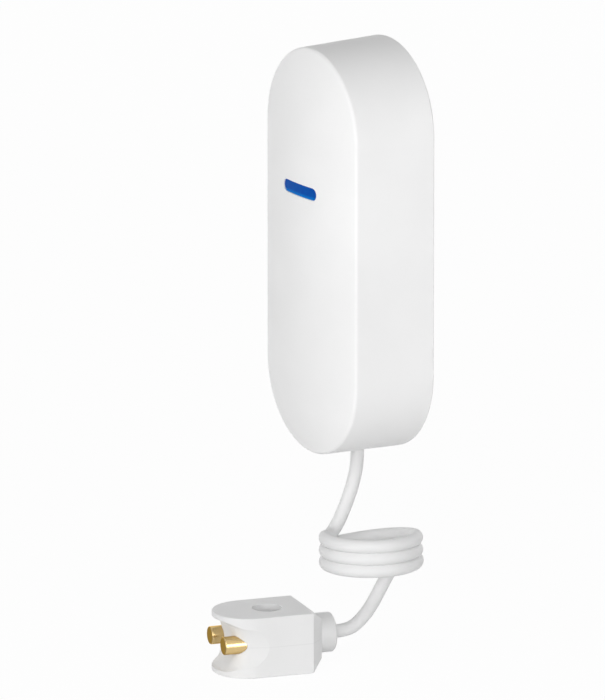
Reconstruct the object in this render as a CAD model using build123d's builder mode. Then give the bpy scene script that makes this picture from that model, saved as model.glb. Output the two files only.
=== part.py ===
from build123d import *
import os
from math import atan2, cos, degrees, pi, radians, sin, sqrt, tan

# Flood sensor: an obround wall housing with a domed front, a short coiled lead and a floor probe.
# Millimetres. +Z is up, the front faces -Y and the wall is the plane y = 0. A depth is measured
# from the wall towards the front.

os.makedirs("parts", exist_ok=True)

# Housing
housing_height = 104.95
housing_width = 43.7
rim_depth = 22.9
crown = 3.8
draft = 0.6
rim_radius = 0.9
rear_radius = 0.5
shell_wall = 2.2
rear_lip = 1.1
wall_gap = 0.3

# Clearances
slip = 0.05
seat = 0.15

# Rear cover, its seal, its screws and the adhesive pad
cover_thickness = 2.2
gasket_thickness = 0.8
pad_length = 72.0
pad_width = 26.0
pad_thickness = 1.0
post_radius = 2.9
post_inset = 5.25
cover_screw_radius = 1.2
cover_screw_length = 9.0
cover_head_radius = 2.3
drive_slot_width = 0.6
drive_slot_depth = 0.6

# Indicator window and its lamp
lens_width = 15.3
lens_tall = 3.1
lens_height = 16.3
lens_recess = 0.25
lens_rim = 1.5
lens_flange_thickness = 0.9
light_pipe_width = 8.0
light_pipe_tall = 2.4
led_width = 3.2
led_tall = 2.0
led_thickness = 0.9

# Circuit board and what sits on its front
front_space = 4.5
board_end_gap = 9.475
board_width = 28.0
board_thickness = 1.6
board_screw_x = 11.2
board_screw_inset = 16.0
board_screw_radius = 0.95
board_head_radius = 1.8
board_head_thickness = 1.3
board_screw_bite = 2.4
standoff_radius = 2.2
radio_size = 16.0
radio_thickness = 2.4
radio_height = -4.0
chip_size = 7.0
chip_thickness = 1.0
chip_height = -22.0
antenna_length = 18.0
antenna_width = 5.0
antenna_rise = 2.4
antenna_sheet = 0.4
antenna_inset = 10.0

# Battery and its holder on the back of the board
cell_diameter = 14.5
cell_length = 49.3
cell_button_radius = 2.75
cell_button_length = 1.2
cell_gap = 0.3
holder_gap = 0.3
holder_floor = 0.8
holder_wall = 1.2
holder_end_rise = 11.0
holder_side_rise = 5.5
contact_sheet = 0.4
contact_width = 8.0
contact_rise = 9.5
spring_room = 2.2

# Terminal block, capacitor and the lead's two cores
terminal_width = 10.2
terminal_tall = 8.0
terminal_thickness = 9.0
terminal_pitch = 5.08
terminal_hole_radius = 1.1
terminal_hole_depth = 4.0
terminal_screw_radius = 1.6
terminal_screw_length = 2.4
capacitor_radius = 3.15
capacitor_length = 7.7
capacitor_x = 9.0
capacitor_rise = 1.3
wire_radius = 0.6
wire_spacing = 1.6
wire_bend = 1.6
wire_straight = 2.2
wire_room = 8.0

# Lead and its exit in the bottom of the housing
cord_diameter = 3.4
exit_depth = 9.35
exit_recess = 0.25
grommet_neck_radius = 3.1
grommet_flange_radius = 4.5
grommet_flange_thickness = 1.5
grommet_seat_radius = 5.4
grommet_seat_rise = 1.4
collar_radius = 2.9
collar_length = 3.4
cord_tail_length = 1.4
bend_share = 0.45

# Coil of the lead
coil_centre = (13.4, -13.7, -75.65)
coil_axis = (-0.17, 0.043, 1.0)
coil_radius = 11.4
coil_pitch = 3.44
coil_start_angle = -110.0
coil_end_angle = 62.0
coil_lobe_arc = 278.0
coil_web = 1.4
coil_run = 3.4
boot_run = 3.7

# Probe
probe_place = (-1.74, -34.94, -106.5)
probe_yaw = 12.35
probe_width = 18.2
probe_height = 15.6
probe_rear = 9.3
probe_nose = 5.05
probe_edge = 0.35
neck_front = 10.3
neck_start = 2.4
neck_flare = 15.0
neck_corner = 4.5
hollow_half = 6.5
hollow_depth = 3.0
hollow_reach = 4.0
taper_length = 3.5
taper_end = 10.3
boot_radius = 5.05
boot_length = 4.4
boot_round = 0.7
boot_recess_radius = 2.3
boot_recess_depth = 0.8
screw_hole_radius = 2.1
screw_head_radius = 3.75
screw_head_depth = 9.0
pin_radius = 2.3
pin_spacing = 10.5
pin_rise = 0.4
pin_tip = 13.45
pin_tail = 4.3
pin_round = 0.35

# Values worked out from the sizes above
half_width = housing_width / 2
rim_half = half_width - draft
end_centre = (housing_height - housing_width) / 2
inner_half = half_width - shell_wall
inner_rim_half = rim_half - shell_wall
inner_rim_depth = rim_depth - shell_wall
rabbet_half = half_width - rear_lip
cover_face = wall_gap + cover_thickness
board_front = rim_depth + crown - shell_wall - front_space
board_rear = board_front - board_thickness
board_length = housing_height - 2 * board_end_gap
board_screw_z = board_length / 2 - board_screw_inset
antenna_height = board_length / 2 - antenna_inset
post_reach = half_width - post_inset
post_x = post_reach / sqrt(2)
post_z = end_centre + post_reach / sqrt(2)
cord_radius = cord_diameter / 2
exit_draft = draft * (exit_depth - wall_gap) / (rim_depth - wall_gap)
exit_bottom = -(end_centre + half_width - exit_draft)
grommet_bottom = exit_bottom + exit_recess
grommet_top = exit_bottom + shell_wall + grommet_seat_rise
collar_bottom = grommet_top + grommet_flange_thickness
cord_inner_top = collar_bottom + collar_length + cord_tail_length
terminal_bottom = cord_inner_top + wire_room
terminal_height = terminal_bottom + terminal_tall / 2
terminal_entry = board_rear - terminal_thickness / 2
capacitor_height = terminal_bottom + capacitor_rise
holder_inside = cell_length + cell_button_length + contact_sheet + spring_room
holder_bottom = terminal_bottom + terminal_tall + holder_gap
cell_height = holder_bottom + holder_wall + holder_inside / 2
holder_width = cell_diameter + 2 * cell_gap + 2 * holder_wall
holder_base = board_rear - holder_floor
cell_depth = holder_base - cell_gap - cell_diameter / 2
cell_bottom = cell_height - holder_inside / 2 + spring_room
contact_top = cell_bottom + cell_length + cell_button_length
probe_middle = probe_height / 2
boot_end = -(probe_rear + taper_length + boot_length)

# Planes: those of the housing face the wall or the front, and the probe has its own frame with
# x towards the nose, y towards the near side and the screw hole at its origin.
rear_face = Plane(origin=(0, -wall_gap, 0), x_dir=(1, 0, 0), z_dir=(0, 1, 0))
board_back = Plane(origin=(0, -board_rear, 0), x_dir=(1, 0, 0), z_dir=(0, 1, 0))
board_face = Plane.XZ.offset(board_front)
holder_seat = Plane(origin=(0, -board_rear, cell_height), x_dir=(1, 0, 0), z_dir=(0, 1, 0))
terminal_seat = Plane(origin=(0, -board_rear, terminal_height), x_dir=(1, 0, 0), z_dir=(0, 1, 0))
terminal_top = terminal_seat.offset(terminal_thickness)
terminal_mouth = Plane(
    origin=(0, -terminal_entry, terminal_bottom), x_dir=(1, 0, 0), z_dir=(0, 0, -1)
)
coil_plane = Plane(origin=coil_centre, x_dir=(1, 0, -coil_axis[0]), z_dir=coil_axis)
yaw = radians(probe_yaw)
probe_floor = Plane(origin=probe_place, x_dir=(-sin(yaw), -cos(yaw), 0), z_dir=(0, 0, 1))


def probe_point(x, y, z):
    """A point of the probe's own frame, in the frame of the whole part."""
    return probe_floor.from_local_coords(Vector(x, y, z))


probe_back = Plane(
    origin=probe_point(-probe_rear, 0, probe_middle),
    x_dir=probe_floor.y_dir,
    z_dir=-probe_floor.x_dir,
)
pin_plane = Plane(
    origin=probe_point(pin_tail, 0, probe_middle + pin_rise),
    x_dir=probe_floor.y_dir,
    z_dir=probe_floor.x_dir,
)
low = (Align.CENTER, Align.CENTER, Align.MIN)
high = (Align.CENTER, Align.CENTER, Align.MAX)


def dome_depth(edge_half, edge_depth, reach):
    """Depth of a domed face at a distance from its middle line."""
    radius = (edge_half**2 + crown**2) / (2 * crown)
    return edge_depth + crown - radius + sqrt(radius**2 - reach**2)


def obround(half, mode=Mode.ADD):
    """An upright obround round the housing's two end centres."""
    return SlotOverall(2 * (end_centre + half), 2 * half, rotation=90, mode=mode)


def dome_rod(edge_half, edge_depth):
    """An upright rod with round ends, whose front is the dome over an obround edge."""
    radius = (edge_half**2 + crown**2) / (2 * crown)
    axis_y = radius - edge_depth - crown
    with BuildPart() as rod:
        with BuildSketch(Plane.YZ):
            with BuildLine():
                CenterArc((axis_y, end_centre), radius, 0, 90)
                CenterArc((axis_y, -end_centre), radius, 270, 90)
                Line((axis_y + radius, -end_centre), (axis_y + radius, end_centre))
                Line((axis_y, end_centre + radius), (axis_y, -end_centre - radius))
            make_face()
        revolve(axis=Axis((0, axis_y, 0), (0, 0, 1)))
    return rod.part


def domed_cup(rear_half, edge_half, edge_depth):
    """An obround with drafted sides under a dome, with a rounded rim."""
    dome = dome_rod(edge_half, edge_depth)
    draft_angle = degrees(atan2(rear_half - edge_half, edge_depth - wall_gap))
    with BuildPart() as cup:
        with BuildSketch(Plane.XZ.offset(wall_gap)):
            obround(rear_half)
        extrude(amount=edge_depth + crown - wall_gap, taper=draft_angle)
        add(dome, mode=Mode.INTERSECT)
        rim = cup.edges().filter_by_position(Axis.Y, -edge_depth - slip, -edge_depth + slip)
        fillet(rim, radius=rim_radius)
    return cup.part


def drive_slots(length, turns):
    """Slots for a driver across the heads of screws, one for each turn in degrees."""
    for turn in turns:
        Box(
            length, drive_slot_width, drive_slot_depth,
            rotation=(0, 0, turn), align=high, mode=Mode.SUBTRACT,
        )


def bend_radii(points):
    """The largest round that the two runs at each corner of a route allow."""
    radii = []
    for before, corner, after in zip(points, points[1:], points[2:]):
        run_in = Vector(corner) - Vector(before)
        run_out = Vector(after) - Vector(corner)
        half_turn = radians(run_in.get_angle(run_out)) / 2
        radii.append(bend_share * min(run_in.length, run_out.length) / tan(half_turn))
    return radii


def sweep_round(points, bends, radius, mode=Mode.ADD):
    """A round bar along straight runs joined by tangent arcs. Returns the route's length."""
    with BuildLine() as route:
        FilletPolyline(*points, radius=bends)
    path = route.wire()
    with BuildSketch(Plane(origin=path @ 0, z_dir=path % 0)) as section:
        Circle(radius)
    sweep(section.sketch, path=path, mode=mode)
    return path.length


def coil_radial(angle):
    """Direction from the coil's axis at an angle round it."""
    turn = radians(angle)
    return coil_plane.x_dir * cos(turn) + coil_plane.y_dir * sin(turn)


def coil_point(angle, lift):
    """A point of the coil's middle line."""
    return coil_plane.origin + coil_radial(angle) * coil_radius + coil_plane.z_dir * lift


def coil_heading(angle):
    """Direction in which the lead runs round the coil at an angle."""
    return coil_plane.z_dir.cross(coil_radial(angle))


def core_route(side):
    """Route of one core inside the probe, from the lead's end to its pin."""
    return [
        probe_point(boot_end + boot_recess_depth, side * wire_spacing / 2, probe_middle),
        probe_point(-probe_rear - taper_length / 2, side * wire_spacing / 2, probe_middle),
        probe_point(-screw_head_radius, side * pin_spacing / 2, probe_middle + pin_rise),
        probe_point(pin_tail, side * pin_spacing / 2, probe_middle + pin_rise),
    ]


# Housing shell
outer_cup = domed_cup(half_width, rim_half, rim_depth)
inner_cup = domed_cup(inner_half, inner_rim_half, inner_rim_depth)
with BuildPart() as front_shell:
    add(outer_cup)
    fillet(front_shell.edges().group_by(Axis.Y)[-1], radius=rear_radius)
    add(inner_cup, mode=Mode.SUBTRACT)
    with BuildSketch(Plane.XZ.offset(wall_gap)):
        obround(rabbet_half)
    extrude(amount=cover_thickness + gasket_thickness, mode=Mode.SUBTRACT)
    with BuildSketch(Plane.XZ.offset(cover_face)):
        with GridLocations(2 * post_x, 2 * post_z, 2, 2):
            Circle(post_radius)
    post_top = dome_depth(inner_rim_half, inner_rim_depth, post_reach)
    extrude(amount=post_top + shell_wall / 2 - cover_face)
    with BuildSketch(board_face):
        with GridLocations(2 * board_screw_x, 2 * board_screw_z, 2, 2):
            Circle(standoff_radius)
    standoff_top = dome_depth(inner_rim_half, inner_rim_depth, board_screw_x)
    extrude(amount=standoff_top + shell_wall / 2 - board_front)
    with BuildSketch(Plane.XY.offset(exit_bottom + shell_wall / 2)):
        with Locations((0, -exit_depth)):
            Circle(grommet_seat_radius)
    extrude(amount=shell_wall / 2 + grommet_seat_rise)
    with BuildSketch(Plane.XY.offset(exit_bottom - shell_wall)):
        with Locations((0, -exit_depth)):
            Circle(grommet_neck_radius + slip)
    extrude(amount=2 * shell_wall + grommet_seat_rise, mode=Mode.SUBTRACT)
    with BuildSketch(Plane.XZ.offset(inner_rim_depth)):
        with Locations((0, lens_height)):
            SlotOverall(lens_width + 2 * slip, lens_tall + 2 * slip)
    extrude(amount=crown + 2 * shell_wall, mode=Mode.SUBTRACT)
    with Locations(rear_face):
        with GridLocations(2 * post_x, 2 * post_z, 2, 2):
            Hole(cover_screw_radius + slip, depth=cover_screw_length + seat)
    with Locations(board_back):
        with GridLocations(2 * board_screw_x, 2 * board_screw_z, 2, 2):
            Hole(board_screw_radius + slip, depth=board_thickness + board_screw_bite + seat)

front_shell.part.label = "front_shell"
export_step(front_shell.part, "parts/front_shell.step")

# Rear cover, in a step of the shell, with a shallow seat for the pad
with BuildPart() as back_cover:
    with BuildSketch(Plane.XZ.offset(wall_gap)):
        obround(rabbet_half - seat)
    extrude(amount=cover_thickness)
    with BuildSketch(Plane.XZ.offset(wall_gap)):
        SlotOverall(pad_length + 2 * seat, pad_width + 2 * seat, rotation=90)
    extrude(amount=pad_thickness - wall_gap, mode=Mode.SUBTRACT)
    with Locations(rear_face):
        with GridLocations(2 * post_x, 2 * post_z, 2, 2):
            CounterSinkHole(
                cover_screw_radius + slip, cover_head_radius + slip, depth=cover_thickness,
                counter_sink_angle=90,
            )

back_cover.part.label = "back_cover"
export_step(back_cover.part, "parts/back_cover.step")

with BuildPart() as cover_gasket:
    with BuildSketch(Plane.XZ.offset(cover_face)):
        obround(rabbet_half - seat)
        obround(inner_half + seat, mode=Mode.SUBTRACT)
    extrude(amount=gasket_thickness)

cover_gasket.part.label = "cover_gasket"
export_step(cover_gasket.part, "parts/cover_gasket.step")

with BuildPart() as cover_screws:
    with Locations(rear_face):
        with GridLocations(2 * post_x, 2 * post_z, 2, 2):
            Cone(
                cover_screw_radius, cover_head_radius, cover_head_radius - cover_screw_radius,
                align=high,
            )
            Cylinder(cover_screw_radius, cover_screw_length, align=high)
            drive_slots(2 * cover_screw_radius, (0, 90))

cover_screws.part.label = "cover_screws"
export_step(cover_screws.part, "parts/cover_screws.step")

with BuildPart() as mounting_pad:
    with BuildSketch(Plane.XZ):
        SlotOverall(pad_length, pad_width, rotation=90)
    extrude(amount=pad_thickness)

mounting_pad.part.label = "mounting_pad"
export_step(mounting_pad.part, "parts/mounting_pad.step")

# Indicator window: a lens through the domed face, its flange behind the wall and a light pipe
lens_flange_front = dome_depth(inner_rim_half, inner_rim_depth, lens_width / 2 + lens_rim) - slip
lens_flange_rear = lens_flange_front - lens_flange_thickness
lens_limit = dome_rod(rim_half, rim_depth - lens_recess)
with BuildPart() as indicator_lens:
    with BuildSketch(Plane.XZ.offset(lens_flange_rear)):
        with Locations((0, lens_height)):
            SlotOverall(lens_width, lens_tall)
    extrude(amount=rim_depth + crown - lens_flange_rear)
    add(lens_limit, mode=Mode.INTERSECT)
    with BuildSketch(Plane.XZ.offset(lens_flange_rear)):
        with Locations((0, lens_height)):
            SlotOverall(lens_width + 2 * lens_rim, lens_tall + 2 * lens_rim)
    extrude(amount=lens_flange_thickness)
    with BuildSketch(Plane.XZ.offset(board_front + led_thickness + slip)):
        with Locations((0, lens_height)):
            SlotOverall(light_pipe_width, light_pipe_tall)
    extrude(amount=lens_flange_rear - board_front - led_thickness - slip)

indicator_lens.part.label = "indicator_lens"
export_step(indicator_lens.part, "parts/indicator_lens.step")

# Circuit board
with BuildPart() as circuit_board:
    with BuildSketch(Plane.XZ.offset(board_rear)):
        SlotOverall(board_length, board_width, rotation=90)
        with GridLocations(2 * board_screw_x, 2 * board_screw_z, 2, 2):
            Circle(board_screw_radius + slip, mode=Mode.SUBTRACT)
    extrude(amount=board_thickness)

circuit_board.part.label = "circuit_board"
export_step(circuit_board.part, "parts/circuit_board.step")

with BuildPart() as board_screws:
    with Locations(board_back):
        with GridLocations(2 * board_screw_x, 2 * board_screw_z, 2, 2):
            Cylinder(board_head_radius, board_head_thickness, align=low)
            Cylinder(board_screw_radius, board_thickness + board_screw_bite, align=high)
    with Locations(board_back.offset(board_head_thickness)):
        with GridLocations(2 * board_screw_x, 2 * board_screw_z, 2, 2):
            drive_slots(2 * board_screw_radius, (0,))

board_screws.part.label = "board_screws"
export_step(board_screws.part, "parts/board_screws.step")

with BuildPart() as status_led:
    with BuildSketch(board_face):
        with Locations((0, lens_height)):
            Rectangle(led_width, led_tall)
    extrude(amount=led_thickness)

status_led.part.label = "status_led"
export_step(status_led.part, "parts/status_led.step")

with BuildPart() as radio_module:
    with BuildSketch(board_face):
        with Locations((0, radio_height)):
            Rectangle(radio_size, radio_size)
    extrude(amount=radio_thickness)

radio_module.part.label = "radio_module"
export_step(radio_module.part, "parts/radio_module.step")

with BuildPart() as processor_chip:
    with BuildSketch(board_face):
        with Locations((0, chip_height)):
            Rectangle(chip_size, chip_size)
    extrude(amount=chip_thickness)

processor_chip.part.label = "processor_chip"
export_step(processor_chip.part, "parts/processor_chip.step")

# Antenna: a strip bent into a bridge over the board
with BuildPart() as antenna:
    with BuildSketch(board_face):
        with Locations((0, antenna_height)):
            Rectangle(antenna_length, antenna_width)
    extrude(amount=antenna_rise)
    with BuildSketch(board_face):
        with Locations((0, antenna_height)):
            Rectangle(antenna_length - 2 * antenna_sheet, antenna_width)
    extrude(amount=antenna_rise - antenna_sheet, mode=Mode.SUBTRACT)

antenna.part.label = "antenna"
export_step(antenna.part, "parts/antenna.step")

# Battery holder: a floor, two end walls and two low sides
with BuildPart() as battery_holder:
    with Locations(holder_seat):
        Box(holder_width, holder_inside + 2 * holder_wall, holder_floor + holder_end_rise, align=low)
    with Locations(holder_seat.offset(holder_floor)):
        Box(
            holder_width - 2 * holder_wall, holder_inside, holder_end_rise,
            align=low, mode=Mode.SUBTRACT,
        )
    with Locations(holder_seat.offset(holder_floor + holder_side_rise)):
        Box(holder_width, holder_inside, holder_end_rise, align=low, mode=Mode.SUBTRACT)

battery_holder.part.label = "battery_holder"
export_step(battery_holder.part, "parts/battery_holder.step")

with BuildPart() as battery_cell:
    with BuildSketch(Plane.XY.offset(cell_bottom)):
        with Locations((0, -cell_depth)):
            Circle(cell_diameter / 2)
    extrude(amount=cell_length)
    with BuildSketch(Plane.XY.offset(cell_bottom + cell_length)):
        with Locations((0, -cell_depth)):
            Circle(cell_button_radius)
    extrude(amount=cell_button_length)

battery_cell.part.label = "battery_cell"
export_step(battery_cell.part, "parts/battery_cell.step")

with BuildPart() as positive_contact:
    with BuildSketch(Plane.XY.offset(contact_top)):
        with Locations((0, contact_rise / 2 - holder_base)):
            Rectangle(contact_width, contact_rise)
    extrude(amount=contact_sheet)

positive_contact.part.label = "positive_contact"
export_step(positive_contact.part, "parts/positive_contact.step")

# The negative contact is a leaf that folds back from the end wall towards the cell
leaf_foot = cell_bottom - spring_room + contact_sheet / 2
with BuildPart() as negative_contact:
    with BuildSketch(Plane.YZ) as leaf:
        with BuildLine():
            Polyline(
                (contact_sheet / 2 - holder_base, leaf_foot),
                (contact_rise - holder_base, leaf_foot),
                (-cell_depth, cell_bottom - contact_sheet),
            )
        trace(line_width=contact_sheet)
    extrude(amount=contact_width / 2, both=True)

negative_contact.part.label = "negative_contact"
export_step(negative_contact.part, "parts/negative_contact.step")

# Terminal block with a screw over each wire, and the capacitor beside it
with BuildPart() as terminal_block:
    with Locations(terminal_seat):
        Box(terminal_width, terminal_tall, terminal_thickness, align=low)
    with Locations(terminal_top):
        with GridLocations(terminal_pitch, 0, 2, 1):
            Hole(terminal_screw_radius + slip, depth=terminal_screw_length)
    with Locations(terminal_mouth):
        with GridLocations(terminal_pitch, 0, 2, 1):
            Hole(terminal_hole_radius, depth=terminal_hole_depth)

terminal_block.part.label = "terminal_block"
export_step(terminal_block.part, "parts/terminal_block.step")

with BuildPart() as terminal_screws:
    with Locations(terminal_top):
        with GridLocations(terminal_pitch, 0, 2, 1):
            Cylinder(terminal_screw_radius, terminal_screw_length, align=high)
            drive_slots(2 * terminal_screw_radius, (0,))

terminal_screws.part.label = "terminal_screws"
export_step(terminal_screws.part, "parts/terminal_screws.step")

with BuildPart() as supply_capacitor:
    with BuildSketch(board_back):
        with Locations((capacitor_x, -capacitor_height)):
            Circle(capacitor_radius)
    extrude(amount=capacitor_length)

supply_capacitor.part.label = "supply_capacitor"
export_step(supply_capacitor.part, "parts/supply_capacitor.step")

with BuildPart() as lead_wires:
    for side in (1, -1):
        wire_route = [
            (side * wire_spacing / 2, -exit_depth, cord_inner_top),
            (side * wire_spacing / 2, -exit_depth, cord_inner_top + wire_straight),
            (side * terminal_pitch / 2, -terminal_entry, terminal_bottom - wire_straight),
            (side * terminal_pitch / 2, -terminal_entry, terminal_bottom + terminal_hole_depth),
        ]
        sweep_round(wire_route, wire_bend, wire_radius)

lead_wires.part.label = "lead_wires"
export_step(lead_wires.part, "parts/lead_wires.step")

# Exit of the lead: grommet in the wall, collar behind it, and the end of the jacket
with BuildPart() as cable_grommet:
    with BuildSketch(Plane.XY.offset(grommet_bottom)):
        with Locations((0, -exit_depth)):
            Circle(grommet_neck_radius)
    extrude(amount=grommet_top - grommet_bottom)
    with BuildSketch(Plane.XY.offset(grommet_top)):
        with Locations((0, -exit_depth)):
            Circle(grommet_flange_radius)
    extrude(amount=grommet_flange_thickness)
    with BuildSketch(Plane.XY.offset(grommet_bottom)):
        with Locations((0, -exit_depth)):
            Circle(cord_radius + slip)
    extrude(amount=collar_bottom - grommet_bottom, mode=Mode.SUBTRACT)

cable_grommet.part.label = "cable_grommet"
export_step(cable_grommet.part, "parts/cable_grommet.step")

with BuildPart() as cord_collar:
    with BuildSketch(Plane.XY.offset(collar_bottom)):
        with Locations((0, -exit_depth)):
            Circle(collar_radius)
            Circle(cord_radius + slip, mode=Mode.SUBTRACT)
    extrude(amount=collar_length)

cord_collar.part.label = "cord_collar"
export_step(cord_collar.part, "parts/cord_collar.step")

with BuildPart() as cord_inner_end:
    with BuildSketch(Plane.XY.offset(grommet_bottom)):
        with Locations((0, -exit_depth)):
            Circle(cord_radius)
    extrude(amount=cord_inner_top - grommet_bottom)

cord_inner_end.part.label = "cord_inner_end"
export_step(cord_inner_end.part, "parts/cord_inner_end.step")

# Lead: down from the housing, round the coil, and on to the probe
upper_route = [
    (0, -exit_depth, grommet_bottom),
    (0, -exit_depth, -56.6),
    (0.3, -10.9, -61.8),
    (1.0, -13.4, -66.6),
    (1.5, -16.2, -70.2),
    (3.0, -18.2, -73.5),
    coil_point(coil_start_angle, coil_pitch) - coil_heading(coil_start_angle) * coil_run,
    coil_point(coil_start_angle, coil_pitch),
]
lower_route = [
    coil_point(coil_end_angle, -coil_pitch),
    coil_point(coil_end_angle, -coil_pitch) + coil_heading(coil_end_angle) * coil_run,
    (11.3, -3.5, -80.4),
    (8.3, -4.8, -82.9),
    (6.4, -6.7, -88.5),
    (4.8, -9.0, -93.9),
    (3.4, -12.2, -97.8),
    probe_point(boot_end + boot_recess_depth - boot_run, 0, probe_middle),
    probe_point(boot_end + boot_recess_depth, 0, probe_middle),
]
cord_section = pi * cord_radius**2

with BuildPart() as cord_upper:
    upper_length = sweep_round(upper_route, bend_radii(upper_route), cord_radius)

cord_upper.part.label = "cord_upper"
export_step(cord_upper.part, "parts/cord_upper.step")

with BuildPart() as cord_lower:
    lower_length = sweep_round(lower_route, bend_radii(lower_route), cord_radius)

cord_lower.part.label = "cord_lower"
export_step(cord_lower.part, "parts/cord_lower.step")

for name, tube, length, route in (
    ("upper", cord_upper, upper_length, upper_route),
    ("lower", cord_lower, lower_length, lower_route),
):
    print(name, "bend radii", [round(radius, 1) for radius in bend_radii(route)])
    print(name, "length", round(length, 1), "volume ratio", tube.part.volume / (cord_section * length))

# The coil's outer shape: one full turn between two that stop where the lead meets them
coil_turns = (
    (coil_start_angle, coil_lobe_arc, 1),
    (0, 360, 0),
    (coil_end_angle - coil_lobe_arc, coil_lobe_arc, -1),
)
with BuildPart() as cord_coil:
    for first_angle, arc, level in coil_turns:
        radial = coil_radial(first_angle)
        turn_plane = Plane(
            origin=coil_plane.origin, x_dir=radial, z_dir=radial.cross(coil_plane.z_dir)
        )
        with BuildSketch(turn_plane):
            with Locations((coil_radius, level * coil_pitch)):
                Circle(cord_radius)
            with Locations((coil_radius, level * coil_pitch / 2)):
                Rectangle(coil_web, coil_pitch)
        revolve(axis=Axis(coil_plane.origin, coil_plane.z_dir), revolution_arc=arc)

cord_coil.part.label = "cord_coil"
export_step(cord_coil.part, "parts/cord_coil.step")

# Probe: a block with a round nose, hollowed round a neck so that two lips stay. The hollow's middle
# line goes round the nose, a hollow's depth outside the neck, and leaves the sides at the flare.
flare = radians(neck_flare)
hollow_front = neck_front + hollow_depth
hollow_side = probe_width / 2 + (hollow_depth + neck_start * sin(flare)) / cos(flare)
hollow_corner = (hollow_front, hollow_side - hollow_front * tan(flare))
hollow_start = (-probe_nose, hollow_side + probe_nose * tan(flare))
with BuildLine(probe_floor.offset(probe_middle)) as hollow_line:
    FilletPolyline(
        hollow_start,
        hollow_corner,
        (hollow_corner[0], -hollow_corner[1]),
        (hollow_start[0], -hollow_start[1]),
        radius=neck_corner + hollow_depth,
    )
hollow_path = hollow_line.wire()
hollow_section = Plane(
    origin=hollow_path @ 0,
    x_dir=Vector(0, 0, 1).cross(hollow_path % 0),
    z_dir=hollow_path % 0,
)
with BuildPart() as probe_body:
    with BuildSketch(probe_floor):
        with Locations(((probe_nose - probe_rear) / 2, 0)):
            Rectangle(probe_nose + probe_rear, probe_width)
        with Locations((probe_nose, 0)):
            Circle(probe_width / 2)
    extrude(amount=probe_height)
    with BuildSketch(probe_back):
        Rectangle(probe_width, probe_height)
    with BuildSketch(probe_back.offset(taper_length)):
        Rectangle(taper_end, taper_end)
    loft(ruled=True)
    outline_faces = probe_body.faces().filter_by(Axis.Z)
    fillet(outline_faces.edges(), radius=probe_edge)
    with BuildSketch(hollow_section):
        Ellipse(hollow_depth, hollow_half)
        with Locations((hollow_reach / 2, 0)):
            Rectangle(hollow_reach, 2 * hollow_half)
    sweep(path=hollow_path, mode=Mode.SUBTRACT)
    with Locations(probe_floor.offset(probe_height)):
        CounterBoreHole(screw_hole_radius, screw_head_radius, screw_head_depth)
    with BuildSketch(pin_plane):
        with GridLocations(pin_spacing, 0, 2, 1):
            Circle(pin_radius + slip)
    extrude(amount=probe_nose + probe_width / 2, mode=Mode.SUBTRACT)
    for side in (1, -1):
        sweep_round(core_route(side), wire_bend, wire_radius + slip, mode=Mode.SUBTRACT)

probe_body.part.label = "probe_body"
export_step(probe_body.part, "parts/probe_body.step")

# The two contact pins
for name, side in (("contact_pin_near", 1), ("contact_pin_far", -1)):
    with BuildPart() as contact_pin:
        with BuildSketch(pin_plane):
            with Locations((side * pin_spacing / 2, 0)):
                Circle(pin_radius)
        extrude(amount=pin_tip - pin_tail)
        tip_face = contact_pin.faces().sort_by(Axis(pin_plane.origin, pin_plane.z_dir))[-1]
        fillet(tip_face.edges(), radius=pin_round)
    contact_pin.part.label = name
    export_step(contact_pin.part, "parts/" + name + ".step")

# Boot: the round end where the lead goes into the probe
boot_plane = probe_back.offset(taper_length)
with BuildPart() as probe_boot:
    with BuildSketch(boot_plane):
        Circle(boot_radius)
    extrude(amount=boot_length)
    boot_face = probe_boot.faces().sort_by(Axis(boot_plane.origin, boot_plane.z_dir))[-1]
    fillet(boot_face.edges(), radius=boot_round)
    with Locations(boot_plane.offset(boot_length)):
        Hole(boot_recess_radius, depth=boot_recess_depth)
        with GridLocations(wire_spacing, 0, 2, 1):
            Hole(wire_radius + slip)

probe_boot.part.label = "probe_boot"
export_step(probe_boot.part, "parts/probe_boot.step")

with BuildPart() as probe_wires:
    for side in (1, -1):
        sweep_round(core_route(side), wire_bend, wire_radius)

probe_wires.part.label = "probe_wires"
export_step(probe_wires.part, "parts/probe_wires.step")
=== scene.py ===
# %% [markdown]
# # A flood sensor, dressed for its portrait
# The sensor is a white moulded housing that sticks to a wall, with a short lead that is wound into a
# small coil and a probe that lies on the floor. The hard shapes come from a CAD model and stay as they
# are. This lesson adds the camera, the lead, the finishes and the light. Lengths are in metres, in the
# model's own frame: +Z is up, the front faces -Y and the wall is the plane y = 0.

# %% The CAD model
import math

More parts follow.
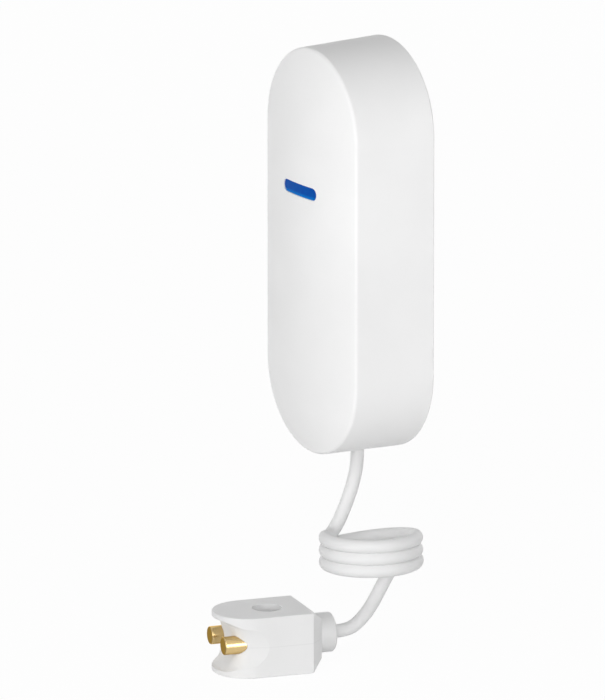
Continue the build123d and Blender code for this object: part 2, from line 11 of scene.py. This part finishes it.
import bmesh
import bpy
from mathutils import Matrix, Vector


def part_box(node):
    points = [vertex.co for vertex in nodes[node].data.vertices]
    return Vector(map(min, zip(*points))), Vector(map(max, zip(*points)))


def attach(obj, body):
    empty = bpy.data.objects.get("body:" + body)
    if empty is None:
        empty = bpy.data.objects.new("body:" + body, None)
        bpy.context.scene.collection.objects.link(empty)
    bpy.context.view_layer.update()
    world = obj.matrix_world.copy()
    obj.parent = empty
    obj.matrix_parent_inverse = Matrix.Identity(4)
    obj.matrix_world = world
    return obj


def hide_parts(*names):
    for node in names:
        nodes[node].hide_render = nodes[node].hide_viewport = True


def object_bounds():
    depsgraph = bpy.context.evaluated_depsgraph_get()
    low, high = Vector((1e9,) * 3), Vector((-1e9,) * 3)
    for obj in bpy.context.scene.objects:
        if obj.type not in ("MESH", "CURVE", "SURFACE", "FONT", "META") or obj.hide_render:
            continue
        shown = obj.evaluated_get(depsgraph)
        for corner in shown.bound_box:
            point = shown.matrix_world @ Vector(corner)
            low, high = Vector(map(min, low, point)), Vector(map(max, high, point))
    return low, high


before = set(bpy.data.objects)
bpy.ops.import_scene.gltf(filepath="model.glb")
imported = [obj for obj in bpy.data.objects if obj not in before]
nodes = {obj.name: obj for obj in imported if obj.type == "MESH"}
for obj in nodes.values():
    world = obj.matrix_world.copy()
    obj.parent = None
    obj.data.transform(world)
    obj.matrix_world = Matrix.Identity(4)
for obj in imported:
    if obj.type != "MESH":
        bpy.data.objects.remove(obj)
cad_low, cad_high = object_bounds()
MILLIMETRES = 1000
print("CAD nodes:", len(nodes), "box:", cad_low[:], cad_high[:])

# %% [markdown]
# ## Camera
# The photograph was taken with a long lens from the housing's right and a little above it: the side's
# edges stay almost parallel. Such a camera could be dragged into place by eye. A turn, a rise and a
# distance place it with three numbers instead, which can be corrected one at a time. The pixel at which
# the housing's middle lies gives the point that the picture has at its own middle. The camera looks at
# that point, so the lens needs no shift.


# %% Camera
def direction(turn, rise):
    """Direction from the sensor at a turn from its front to its right, and a rise, in degrees."""
    around = math.radians(turn)
    above = math.radians(rise)
    level = math.cos(above)
    return Vector((math.sin(around) * level, -math.cos(around) * level, math.sin(above)))


VIEW_TURN = 58.33
VIEW_RISE = 13.94
VIEW_DISTANCE = 3.0
PICTURE_WIDE = 605
PICTURE_TALL = 700
METRES_PER_PIXEL = 0.00025
SENSOR_WIDTH = 36
HOUSING_MIDDLE = Vector((0, -0.01145, 0))
HOUSING_PIXEL = (350.4, 245.7)

to_camera = direction(VIEW_TURN, VIEW_RISE)
picture_right = Vector((0, 0, 1)).cross(to_camera).normalized()
picture_up = to_camera.cross(picture_right)
step_right = (PICTURE_WIDE / 2 - HOUSING_PIXEL[0]) * METRES_PER_PIXEL
step_down = (PICTURE_TALL / 2 - HOUSING_PIXEL[1]) * METRES_PER_PIXEL
aim = HOUSING_MIDDLE + step_right * picture_right - step_down * picture_up

camera_data = bpy.data.cameras.new("camera")
camera_data.sensor_width = SENSOR_WIDTH
camera_data.lens = SENSOR_WIDTH * VIEW_DISTANCE / (PICTURE_TALL * METRES_PER_PIXEL)
camera = bpy.data.objects.new("camera", camera_data)
camera.location = HOUSING_MIDDLE + to_camera * VIEW_DISTANCE
camera.rotation_euler = (aim - camera.location).to_track_quat("-Z", "Y").to_euler()
bpy.context.scene.collection.objects.link(camera)
bpy.context.scene.camera = camera
print("lens in mm:", round(camera_data.lens, 1))

# %% [markdown]
# ## Route of the lead
# The lead leaves the housing straight down, bends forwards, goes round a neat coil of three strands and
# runs on to the probe. It could be swept as a mesh, but one smooth spline is enough: the free stretches
# are a few points, and a loop winds the coil. A quadratic spline passes inside its points, so the coil's
# points stand out a little. Each turn stays level round the front and steps down by a strand round the
# back, as a coil does that is pressed together by hand.

# %% Route of the lead
LEAD_DIAMETER = 0.0034
LEAD_EXIT = (0, -0.00935, -0.051985)
COIL_MIDDLE = Vector((0.01338, -0.01358, -0.07513))
COIL_UP = Vector((-0.044, 0.010, 1)).normalized()
COIL_SIDE = Vector((1, 0, 0.044)).normalized()
COIL_RADIUS = 0.0114
COIL_PITCH = 0.0031
FULL_TURN = 360
COIL_START = -128
COIL_END = 62 + 2 * FULL_TURN
COIL_STEPS = 45
RUN_OUT = 0.0034
STEP_DOWN_START = 38
STEP_DOWN_SPAN = 155
coil_back = COIL_UP.cross(COIL_SIDE)
coil_step = (COIL_END - COIL_START) / COIL_STEPS
spline_reach = COIL_RADIUS / math.cos(math.radians(coil_step) / 2)


def coil_lift(angle):
    """Height above the coil's middle: a strand's pitch lower after each turn's eased step."""
    turns, rest = divmod(angle, FULL_TURN)
    share = min(max((rest - STEP_DOWN_START) / STEP_DOWN_SPAN, 0), 1)
    eased = share * share * (3 - 2 * share)
    return COIL_PITCH * (1 - turns - eased)


def coil_point(angle):
    """A point of the coil's line at an angle in degrees."""
    turn = math.radians(angle)
    outwards = COIL_SIDE * math.cos(turn) + coil_back * math.sin(turn)
    return COIL_MIDDLE + outwards * spline_reach + COIL_UP * coil_lift(angle)


def coil_heading(angle):
    """Direction in which the lead goes round the coil."""
    turn = math.radians(angle)
    return coil_back * math.cos(turn) - COIL_SIDE * math.sin(turn)


upper_route = [
    LEAD_EXIT,
    (0, -0.00935, -0.0566),
    (0.0003, -0.0109, -0.0618),
    (0.0010, -0.0134, -0.0666),
    (0.0017, -0.0162, -0.0709),
    (0.0026, -0.0186, -0.0728),
    (0.0046, -0.0206, -0.0730),
]
coil_route = [coil_point(COIL_START + coil_step * step) for step in range(COIL_STEPS + 1)]
lower_route = [
    coil_point(COIL_END) + coil_heading(COIL_END) * RUN_OUT,
    (0.0113, -0.0035, -0.0804),
    (0.0083, -0.0048, -0.0829),
    (0.0064, -0.0067, -0.0885),
    (0.0048, -0.0090, -0.0939),
    (0.0034, -0.0122, -0.0978),
    (0.00256, -0.01531, -0.0988),
    (0.00177, -0.01892, -0.0987),
]
route = upper_route + coil_route + lower_route
print("points of the route:", len(route))

# %% [markdown]
# ## Lead
# A curve with a bevel is a tube, and it is easy to correct because it stores only its points. A mesh
# would have to be made anew. The bevel is 1 deep and each point has the lead's radius, so the thickness
# is set along the route. The lead hides the three plain solids that it stands for, and is parented to the
# root body.

# %% Lead
TUBE_ROUNDNESS = 8
TUBE_STEPS = 10
QUADRATIC = 3
lead_curve = bpy.data.curves.new("lead", "CURVE")
lead_curve.dimensions = "3D"
lead_curve.bevel_depth = 1.0
lead_curve.bevel_resolution = TUBE_ROUNDNESS
lead_curve.resolution_u = TUBE_STEPS
lead_curve.use_fill_caps = True
lead_line = lead_curve.splines.new("NURBS")
lead_line.points.add(len(route) - 1)
for point, place in zip(lead_line.points, route):
    point.co = (*place, 1)
    point.radius = LEAD_DIAMETER / 2
lead_line.order_u = QUADRATIC
lead_line.use_endpoint_u = True
lead = bpy.data.objects.new("lead", lead_curve)
bpy.context.scene.collection.objects.link(lead)
print("lead in mm:", round(lead_line.calc_length() * MILLIMETRES, 1))

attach(lead, "root")
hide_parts("cord_upper", "cord_coil", "cord_lower")

# %% [markdown]
# ## Sums on sockets
# Every finish is a tree of nodes. Linking the nodes of a sum one by one takes several lines for each
# sign. A small class that stands for a node's output is shorter and reads as arithmetic: each sign adds
# one Math node, and a plain number may stand on either side of it.


# %% Sums on sockets
class Value:
    """One output of a node, which takes part in sums as a number does."""

    def __init__(self, owner, socket):
        self.owner = owner
        self.socket = socket

    def sum_of(self, operation, first, second):
        """Adds the Math node of one sign."""
        return self.owner.node("ShaderNodeMath", {"operation": operation}, {0: first, 1: second})

    def __add__(self, other):
        return self.sum_of("ADD", self, other)

    def __sub__(self, other):
        return self.sum_of("SUBTRACT", self, other)

    def __rsub__(self, other):
        return self.sum_of("SUBTRACT", other, self)

    def __mul__(self, other):
        return self.sum_of("MULTIPLY", self, other)

    __radd__ = __add__
    __rmul__ = __mul__


print("signs that add a Math node: + - *")

# %% [markdown]
# ## Node trees
# Materials and the world are both node trees, so they share one class. Its one method for any node takes
# the node's type, its settings and what goes into its sockets: a number, a colour or another node's
# output. The few nodes that come back often get a short method of their own on top of it.


# %% Node trees
class Nodes:
    """A node tree, with one way to add any node."""

    def __init__(self, tree):
        self.tree = tree

    def node(self, kind, settings=None, inputs=None, output=0):
        """Adds a node, sets it, fills its sockets and gives one of its outputs."""
        made = self.tree.nodes.new(kind)
        for name, value in (settings or {}).items():
            setattr(made, name, value)
        for name, value in (inputs or {}).items():
            self.feed(made.inputs[name], value)
        return Value(self, made.outputs[output])

    def feed(self, socket, value):
        """Links an output to a socket, or sets the socket to a number or a colour."""
        if isinstance(value, Value):
            self.tree.links.new(value.socket, socket)
        else:
            socket.default_value = value

    def ramp(self, value, low, high, start=0.0, end=1.0):
        """The value's stretch from low to high, eased to a stretch from start to end."""
        inputs = {"Value": value, "From Min": low, "From Max": high, "To Min": start, "To Max": end}
        return self.node("ShaderNodeMapRange", {"interpolation_type": "SMOOTHSTEP"}, inputs)

    def blend(self, share, first, second):
        """A shader between two, by a share."""
        return self.node("ShaderNodeMixShader", None, {0: share, 1: first, 2: second})

    def backdrop_share(self):
        """1 on rays that show the backdrop: to the camera, in a gloss or through glass."""
        path = "ShaderNodeLightPath"
        to_eye = self.node(path, output="Is Camera Ray")
        in_gloss = self.node(path, output="Is Glossy Ray")
        return to_eye + in_gloss + self.node(path, output="Is Transmission Ray")


print("one method adds any node:", Nodes.node.__name__)

# %% [markdown]
# ## Finishes
# A finish is a material whose one shader gets a colour, a gloss and a relief. Patterns could follow an
# unwrapped surface, but these mouldings need no seams, so their patterns read object coordinates: a
# scale is then in clouds or lines to the metre, the same on every piece. A Mix node has sockets for
# every kind of data under the same names, so its colour sockets go by number.

# %% Finishes
NOISE_DETAIL = 2.0
NOISE_LOW = 0.3
NOISE_HIGH = 0.7
MIX_SHARE = 0
MIX_FIRST_COLOUR = 6
MIX_SECOND_COLOUR = 7
MIX_COLOUR_OUT = 2


def shade(tone, level=1.0):
    """A colour of three channels at a level, with the fourth that sockets want."""
    return (*(min(1.0, level * channel) for channel in tone), 1)


class Finish(Nodes):
    """A material in the making."""

    def __init__(self, name, **settings):
        self.material = bpy.data.materials.new(name)
        self.material.use_nodes = True
        super().__init__(self.material.node_tree)
        self.shader = self.tree.nodes["Principled BSDF"]
        self.place = self.node("ShaderNodeTexCoord", output="Object")
        self.set(**settings)

    def set(self, **settings):
        """Sets or links sockets of the shader: base_color is its Base Color, and so on."""
        for name, value in settings.items():
            title = name.replace("_", " ").title().replace("Ior", "IOR")
            self.feed(self.shader.inputs[title], value)

    def paint(self, skin):
        """Links a colour to the shader and keeps it, so that a later step can draw on it."""
        self.skin = skin
        self.set(base_color=skin)

    def noise(self, scale, detail=NOISE_DETAIL):
        """Cloudy values round 0.5, with a scale in clouds to the metre."""
        inputs = {"Vector": self.place, "Scale": scale, "Detail": detail}
        return self.node("ShaderNodeTexNoise", None, inputs)

    def lines(self, along, scale):
        """Uneven lines across a direction, with a scale in lines to the metre."""
        inputs = {"W": along, "Scale": scale, "Detail": NOISE_DETAIL}
        return self.node("ShaderNodeTexNoise", {"noise_dimensions": "1D"}, inputs)

    def spread(self, noise, start=0.0, end=1.0):
        """A noise's usual values, spread over a stretch from start to end."""
        return self.ramp(noise, NOISE_LOW, NOISE_HIGH, start, end)

    def mix(self, share, first, second):
        """A colour between two, by a share."""
        inputs = {MIX_SHARE: share, MIX_FIRST_COLOUR: first, MIX_SECOND_COLOUR: second}
        return self.node("ShaderNodeMix", {"data_type": "RGBA"}, inputs, output=MIX_COLOUR_OUT)

    def tones(self, share, tone, dark, light=1.0):
        """A tone between a dark and a light level, by a share."""
        return self.mix(share, shade(tone, dark), shade(tone, light))

    def bump(self, height, depth):
        """Links a relief of that depth, in metres, to the shader."""
        inputs = {"Height": height, "Strength": 1.0, "Distance": depth}
        self.set(normal=self.node("ShaderNodeBump", None, inputs))

    def axis(self, name):
        """One coordinate of the place, in metres."""
        return self.node("ShaderNodeSeparateXYZ", None, {0: self.place}, output=name)

    def put_on(self, *names):
        """Gives the finish to CAD nodes."""
        for name in names:
            piece = nodes[name]
            piece.data.materials.clear()
            piece.data.materials.append(self.material)


print("a noise is spread from", NOISE_LOW, "to", NOISE_HIGH)

# %% [markdown]
# ## White mouldings
# Housing and probe are white plastic from a mould. Such a skin is never quite even: the mould's
# spark-eroded grain breaks up the gloss, and the tone drifts a little over a few centimetres. One flat
# white would look like paper, and a grain in the mesh would need millions of faces. Three noises do it,
# each at the size of what it stands for: one for the tone, one for the gloss and a fine one as relief.

# %% White mouldings
DRIFT_SCALE = 35.0
GLOSS_SCALE = 140.0
GLOSS_DETAIL = 3.0
GRAIN_SCALE = 2600.0
DRIFT_LEVEL = 0.965
PLASTIC_IOR = 1.49
PLASTIC_SPECULAR = 0.25


def white_moulding(name, tone, gloss, grain_depth):
    """White plastic with a fine grain, a range of roughness and a slow drift in tone."""
    finish = Finish(name, ior=PLASTIC_IOR, specular_ior_level=PLASTIC_SPECULAR)
    drift = finish.spread(finish.noise(DRIFT_SCALE))
    finish.paint(finish.tones(drift, tone, DRIFT_LEVEL))
    finish.set(roughness=finish.spread(finish.noise(GLOSS_SCALE, GLOSS_DETAIL), *gloss))
    finish.bump(finish.noise(GRAIN_SCALE), grain_depth)
    return finish


HOUSING_TONE = (0.90, 0.90, 0.90)
SATIN = (0.56, 0.66)
GRAIN_DEPTH = 0.000006
housing_finish = white_moulding("housing_white", HOUSING_TONE, SATIN, GRAIN_DEPTH)
housing_finish.put_on("front_shell", "back_cover")
print("housing roughness:", SATIN)

# %% [markdown]
# ## Probe
# The probe is a smaller moulding in a duller white. Its two mould halves met at half height, and a
# hairline is left there all round. A groove of a hundredth of a millimetre has no shape to model, so the
# finish draws it: a square of the height above the line is small only near it. The boot behind the probe
# is softer plastic with a little more gloss.

# %% Probe
PROBE_TONE = (0.81, 0.81, 0.81)
PARTING_HEIGHT = -0.0987
PARTING_HALF = 0.00016
PARTING_LEVEL = 0.93
probe_finish = white_moulding("probe_white", PROBE_TONE, SATIN, GRAIN_DEPTH)
above_line = probe_finish.axis("Z") - PARTING_HEIGHT
on_line = probe_finish.ramp(above_line * above_line, 0.0, PARTING_HALF**2, 1.0, 0.0)
probe_finish.paint(probe_finish.mix(on_line, probe_finish.skin, shade(PROBE_TONE, PARTING_LEVEL)))
probe_finish.put_on("probe_body")

BOOT_TONE = (0.76, 0.76, 0.76)
BOOT_GLOSS = (0.42, 0.50)
boot_finish = white_moulding("boot_white", BOOT_TONE, BOOT_GLOSS, GRAIN_DEPTH)
boot_finish.put_on("probe_boot")
print("parting line in mm:", PARTING_HEIGHT * MILLIMETRES)

# %% [markdown]
# ## Jacket
# The lead's jacket is soft white plastic, about as matt as the mouldings. It is drawn through a die, so
# its grain is shallower than one from a mould. The grommet in the housing is of the same kind. A finish
# of its own could copy the mouldings' nodes, but the same recipe serves, with other numbers.

# %% Jacket
JACKET_TONE = (0.81, 0.81, 0.81)
JACKET_GLOSS = (0.55, 0.65)
JACKET_GRAIN = 0.000003
jacket_finish = white_moulding("jacket_white", JACKET_TONE, JACKET_GLOSS, JACKET_GRAIN)
lead_curve.materials.append(jacket_finish.material)
jacket_finish.put_on("cord_upper", "cord_coil", "cord_lower", "cord_inner_end", "cable_grommet")
print("jacket on:", lead.name)

# %% [markdown]
# ## Indicator
# The indicator is a window of deep blue plastic over a small lamp. Along its lower edge the blue is paler:
# that band is a painted highlight. Clear plastic would show the dark inside, so the colour is in the skin:
# a ramp over the window's height, from the painted highlight at the foot to the deep blue above, with a
# weak gloss that keeps the blue deep from the side.

# %% Indicator
# The paler blue below is a painted highlight along the window's lower edge.
LENS_PAINTED_HIGHLIGHT = (0.0, 0.19, 0.60)
LENS_DEEP = (0.0, 0.07, 0.38)
LENS_SPECULAR = 0.03
LENS_ROUGHNESS = 0.3
LENS_BRIGHT_TOP = 0.0158
LENS_BRIGHT_FOOT = 0.0148
LENS_CLOUDS = 700.0
LENS_CLOUD_LEVEL = 0.9
lens_finish = Finish("indicator_blue", roughness=LENS_ROUGHNESS, specular_ior_level=LENS_SPECULAR)
# Below the fade the window shows the painted highlight, above it the deep blue.
above_painted_highlight = lens_finish.ramp(lens_finish.axis("Z"), LENS_BRIGHT_FOOT, LENS_BRIGHT_TOP)
lens_cloud = lens_finish.spread(lens_finish.noise(LENS_CLOUDS), LENS_CLOUD_LEVEL, 1.0)
lens_finish.paint(lens_finish.mix(above_painted_highlight * lens_cloud, shade(LENS_PAINTED_HIGHLIGHT), shade(LENS_DEEP)))
lens_finish.put_on("indicator_lens")
lens_low, lens_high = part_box("indicator_lens")
print("window from", round(lens_low.z * MILLIMETRES, 1), "to", round(lens_high.z * MILLIMETRES, 1))

# %% [markdown]
# ## Contact pins
# The two pins are turned from brass and plated with gold, so water can't corrode them. A lathe leaves
# fine rings round a pin. They could be cut into the mesh, but rings of a micron or two show only in the
# gloss, so lines across the pin's own direction vary the gloss and the tone and give a slight relief. The
# flat tips and a thin ring before them get a dark colour that is painted shade, and a warm tint keeps the
# gold from turning grey where it is seen edge on.

# %% Contact pins
GOLD_TONE = (0.66, 0.49, 0.235)
GOLD_EDGE = (0.80, 0.62, 0.36)
GOLD_DARK = 0.94
GOLD_LIGHT = 1.06
PIN_GLOSS = (0.20, 0.27)
PIN_YAW = math.radians(12.35)
# The dark colour of the tips is painted shade.
TIP_PAINTED_SHADE = (0.27, 0.19, 0.085)
PIN_TIP = 0.04795
TIP_RING = 0.0003
RING_SCALE = 6000.0
RING_DEPTH = 0.0000015
pin_finish = Finish("pin_gold", metallic=1.0, specular_tint=shade(GOLD_EDGE))
pin_across = pin_finish.axis("X") * -math.sin(PIN_YAW)
pin_along = pin_across + pin_finish.axis("Y") * -math.cos(PIN_YAW)
rings = pin_finish.lines(pin_along, RING_SCALE)
gold = pin_finish.tones(rings, GOLD_TONE, GOLD_DARK, GOLD_LIGHT)
# Share of painted shade, which rises over the last ring before each tip.
painted_shade_at_tip = pin_finish.ramp(pin_along, PIN_TIP - TIP_RING, PIN_TIP)
pin_finish.paint(pin_finish.mix(painted_shade_at_tip, gold, shade(TIP_PAINTED_SHADE)))
pin_finish.set(roughness=pin_finish.spread(rings, *PIN_GLOSS))
pin_finish.bump(rings, RING_DEPTH)
pin_finish.put_on("contact_pin_near", "contact_pin_far")
print("rings to the mm:", RING_SCALE / MILLIMETRES)

# %% [markdown]
# ## Pad
# From behind, the sensor shows its grey foam pad. Foam is a sponge of open cells. Holes in the mesh would
# be far too many, so a cell pattern gives them as relief, and as tone that is darker in the middle of each
# cell: painted shade in the cell hollows.

# %% Pad
FOAM_TONE = (0.13, 0.13, 0.135)
FOAM_PAINTED_SHADE = 0.6
FOAM_LIGHT = 1.5
FOAM_ROUGHNESS = 0.92
CELLS_SCALE = 1800.0
CELL_DEPTH = 0.00012
foam_finish = Finish("foam_grey", roughness=FOAM_ROUGHNESS)
cell_inputs = {"Vector": foam_finish.place, "Scale": CELLS_SCALE}
cells = foam_finish.node("ShaderNodeTexVoronoi", None, cell_inputs, output="Distance")
# The darker middle of each cell is painted shade in the cell hollows; the cell pattern is the foam's own.
foam_finish.paint(foam_finish.tones(cells, FOAM_TONE, FOAM_PAINTED_SHADE, FOAM_LIGHT))
foam_finish.bump(cells, CELL_DEPTH)
foam_finish.put_on("mounting_pad")
print("pad cells to the mm:", CELLS_SCALE / MILLIMETRES)

# %% [markdown]
# ## Screws and seal
# Four steel screws hold the rear cover, and a black rubber seal lies under its edge. The tool that cut
# the screws left fine lines, which lines across the X axis give without a mesh for each scratch. Rubber
# is dull and a little dusty: one noise changes its tone and its gloss together, as dust does.

# %% Screws and seal
STEEL_TONE = (0.40, 0.40, 0.41)
STEEL_DARK = 0.85
STEEL_LIGHT = 1.1
STEEL_GLOSS = (0.25, 0.40)
BRUSH_SCALE = 9000.0
steel_finish = Finish("screw_steel", metallic=1.0)
brushed = steel_finish.lines(steel_finish.axis("X"), BRUSH_SCALE)
steel_finish.paint(steel_finish.tones(brushed, STEEL_TONE, STEEL_DARK, STEEL_LIGHT))
steel_finish.set(roughness=steel_finish.spread(brushed, *STEEL_GLOSS))
steel_finish.put_on("cover_screws", "board_screws", "terminal_screws")

SEAL_TONE = (0.03, 0.03, 0.03)
SEAL_DARK = 0.7
SEAL_LIGHT = 1.4
SEAL_GLOSS = (0.55, 0.70)
DUST_SCALE = 900.0
seal_finish = Finish("seal_black")
seal_dust = seal_finish.noise(DUST_SCALE)
seal_finish.paint(seal_finish.tones(seal_dust, SEAL_TONE, SEAL_DARK, SEAL_LIGHT))
seal_finish.set(roughness=seal_finish.spread(seal_dust, *SEAL_GLOSS))
seal_finish.put_on("cover_gasket")
print("lines on a screw to the mm:", BRUSH_SCALE / MILLIMETRES)

# %% [markdown]
# ## Inside
# The board and its pieces can't be seen in the closed housing. Each still has its own colour and gloss,
# with a little unevenness, so that an opened model reads at a glance: green laminate, black cases, tinned
# shields, a blue sleeve on the cell and red cores. They could have a cell each, but they differ in
# numbers alone, so one loop goes through a table of tone, metal, roughness and pieces.

# %% Inside
INNER_TONES = {
    "board_green": ((0.02, 0.16, 0.06), 0.0, 0.35, ["circuit_board"]),
    "lamp_clear": ((0.8, 0.82, 0.85), 0.0, 0.2, ["status_led"]),
    "shield_metal": ((0.7, 0.7, 0.71), 1.0, 0.35, ["radio_module", "supply_capacitor", "cord_collar"]),
    "chip_black": ((0.02, 0.02, 0.02), 0.0, 0.5, ["processor_chip", "battery_holder"]),
    "contact_metal": ((0.7, 0.62, 0.42), 1.0, 0.3, ["antenna", "positive_contact", "negative_contact"]),
    "cell_sleeve": ((0.05, 0.14, 0.4), 0.0, 0.3, ["battery_cell"]),
    "terminal_green": ((0.03, 0.2, 0.08), 0.0, 0.45, ["terminal_block"]),
    "core_red": ((0.4, 0.03, 0.03), 0.0, 0.4, ["lead_wires", "probe_wires"]),
}
INNER_CLOUDS = 600.0
INNER_GRAIN = 1500.0
INNER_LIGHT = 1.15
SMOOTHER = 0.9
ROUGHER = 1.1
for name, (tone, metallic, roughness, members) in INNER_TONES.items():
    finish = Finish(name, metallic=metallic)
    cloud = finish.spread(finish.noise(INNER_CLOUDS))
    finish.paint(finish.tones(cloud, tone, 1.0, INNER_LIGHT))
    grain = finish.noise(INNER_GRAIN)
    finish.set(roughness=finish.spread(grain, SMOOTHER * roughness, ROUGHER * roughness))
    finish.put_on(*members)
print("finishes:", len(bpy.data.materials))

# %% [markdown]
# ## Floor
# The photograph has a plain white ground. A brighter floor would throw light up at the sensor. Here the
# floor glows only on rays that show the backdrop, and a small share of its plain surface stays in the
# mix, which keeps the sensor's shadow.

# %% Floor
FLOOR_HALF = 6.0
floor_mesh = bpy.data.meshes.new("floor")
floor_shape = bmesh.new()
bmesh.ops.create_grid(floor_shape, x_segments=1, y_segments=1, size=FLOOR_HALF)
bmesh.ops.translate(floor_shape, verts=floor_shape.verts, vec=(0, 0, cad_low.z))
floor_shape.to_mesh(floor_mesh)
floor_shape.free()
floor = bpy.data.objects.new("floor", floor_mesh)
bpy.context.scene.collection.objects.link(floor)

FLOOR_TONE = (0.9, 0.9, 0.9)
FLOOR_ROUGHNESS = 0.9
FLOOR_GLOW = 0.96
WHITE = (1, 1, 1, 1)
floor_finish = Finish("floor_white", base_color=shade(FLOOR_TONE), roughness=FLOOR_ROUGHNESS)
floor_mesh.materials.append(floor_finish.material)
glow = floor_finish.node("ShaderNodeEmission", None, {"Color": WHITE, "Strength": 1.0})
shaded = Value(floor_finish, floor_finish.shader.outputs[0])
floor_look = floor_finish.blend(floor_finish.backdrop_share() * FLOOR_GLOW, shaded, glow)
floor_finish.feed(floor_finish.tree.nodes["Material Output"].inputs["Surface"], floor_look)
print("floor at", round(cad_low.z * MILLIMETRES, 1), "mm")

# %% [markdown]
# ## World
# The studio round the sensor is a dim, soft light, stronger from above. One even grey would flatten the
# round top of the housing, so the strength rises with the height that a ray looks at. Rays that show the
# backdrop see white, as they do on the floor.

# %% World
WORLD_SIDE = 0.06
WORLD_TOP = 0.36
world = bpy.data.worlds.new("studio")
bpy.context.scene.world = world
world.use_nodes = True
sky = Nodes(world.node_tree)
looking = sky.node("ShaderNodeTexCoord", output="Object")
height = sky.node("ShaderNodeSeparateXYZ", None, {0: looking}, output="Z")
level = sky.ramp(height, 0.0, 1.0, WORLD_SIDE, WORLD_TOP)
dim = sky.node("ShaderNodeBackground", None, {"Color": WHITE, "Strength": level})
bright = sky.node("ShaderNodeBackground", None, {"Color": WHITE, "Strength": 1.0})
sky_look = sky.blend(sky.backdrop_share(), dim, bright)
sky.feed(sky.tree.nodes["World Output"].inputs["Surface"], sky_look)
print("world at its sides and top:", WORLD_SIDE, WORLD_TOP)

# %% [markdown]
# ## Lamps
# White mouldings show their form by small steps of tone. One strong lamp would burn out the face that it
# meets, so broad discs share the work: three before the front, the corner and the right side, a high one
# for the rim, a weak one that lifts the left edge, and two behind for the back. Each has a turn and a
# rise in degrees, a size in metres and a power in watts.

# %% Lamps
LAMP_DISTANCE = 1.2
LAMPS = {
    "front": (4, 10, 0.8, 3.9),
    "key": (38, 12, 0.6, 2.4),
    "side": (90, 10, 0.6, 4.5),
    "high": (55, 40, 0.45, 2.5),
    "left": (-40, 15, 0.8, 1.05),
    "rear": (205, 8, 0.9, 3.8),
    "fill": (258, 8, 0.8, 1.8),
}
lamp_target = (cad_low + cad_high) / 2
for name, (turn, rise, size, power) in LAMPS.items():
    lamp_data = bpy.data.lights.new(name, "AREA")
    lamp_data.shape = "DISK"
    lamp_data.size = size
    lamp_data.energy = power
    lamp = bpy.data.objects.new(name, lamp_data)
    to_lamp = direction(turn, rise)
    lamp.location = lamp_target + to_lamp * LAMP_DISTANCE
    lamp.rotation_euler = to_lamp.to_track_quat("Z", "Y").to_euler()
    bpy.context.scene.collection.objects.link(lamp)
print("lamps:", len(LAMPS))

# %% [markdown]
# ## Closing
# The plain view transform shows colours about as they are written. A film-like one would be kinder to
# highlights, but it greys a white product.

# %% Closing
bpy.context.scene.view_settings.view_transform = "Standard"
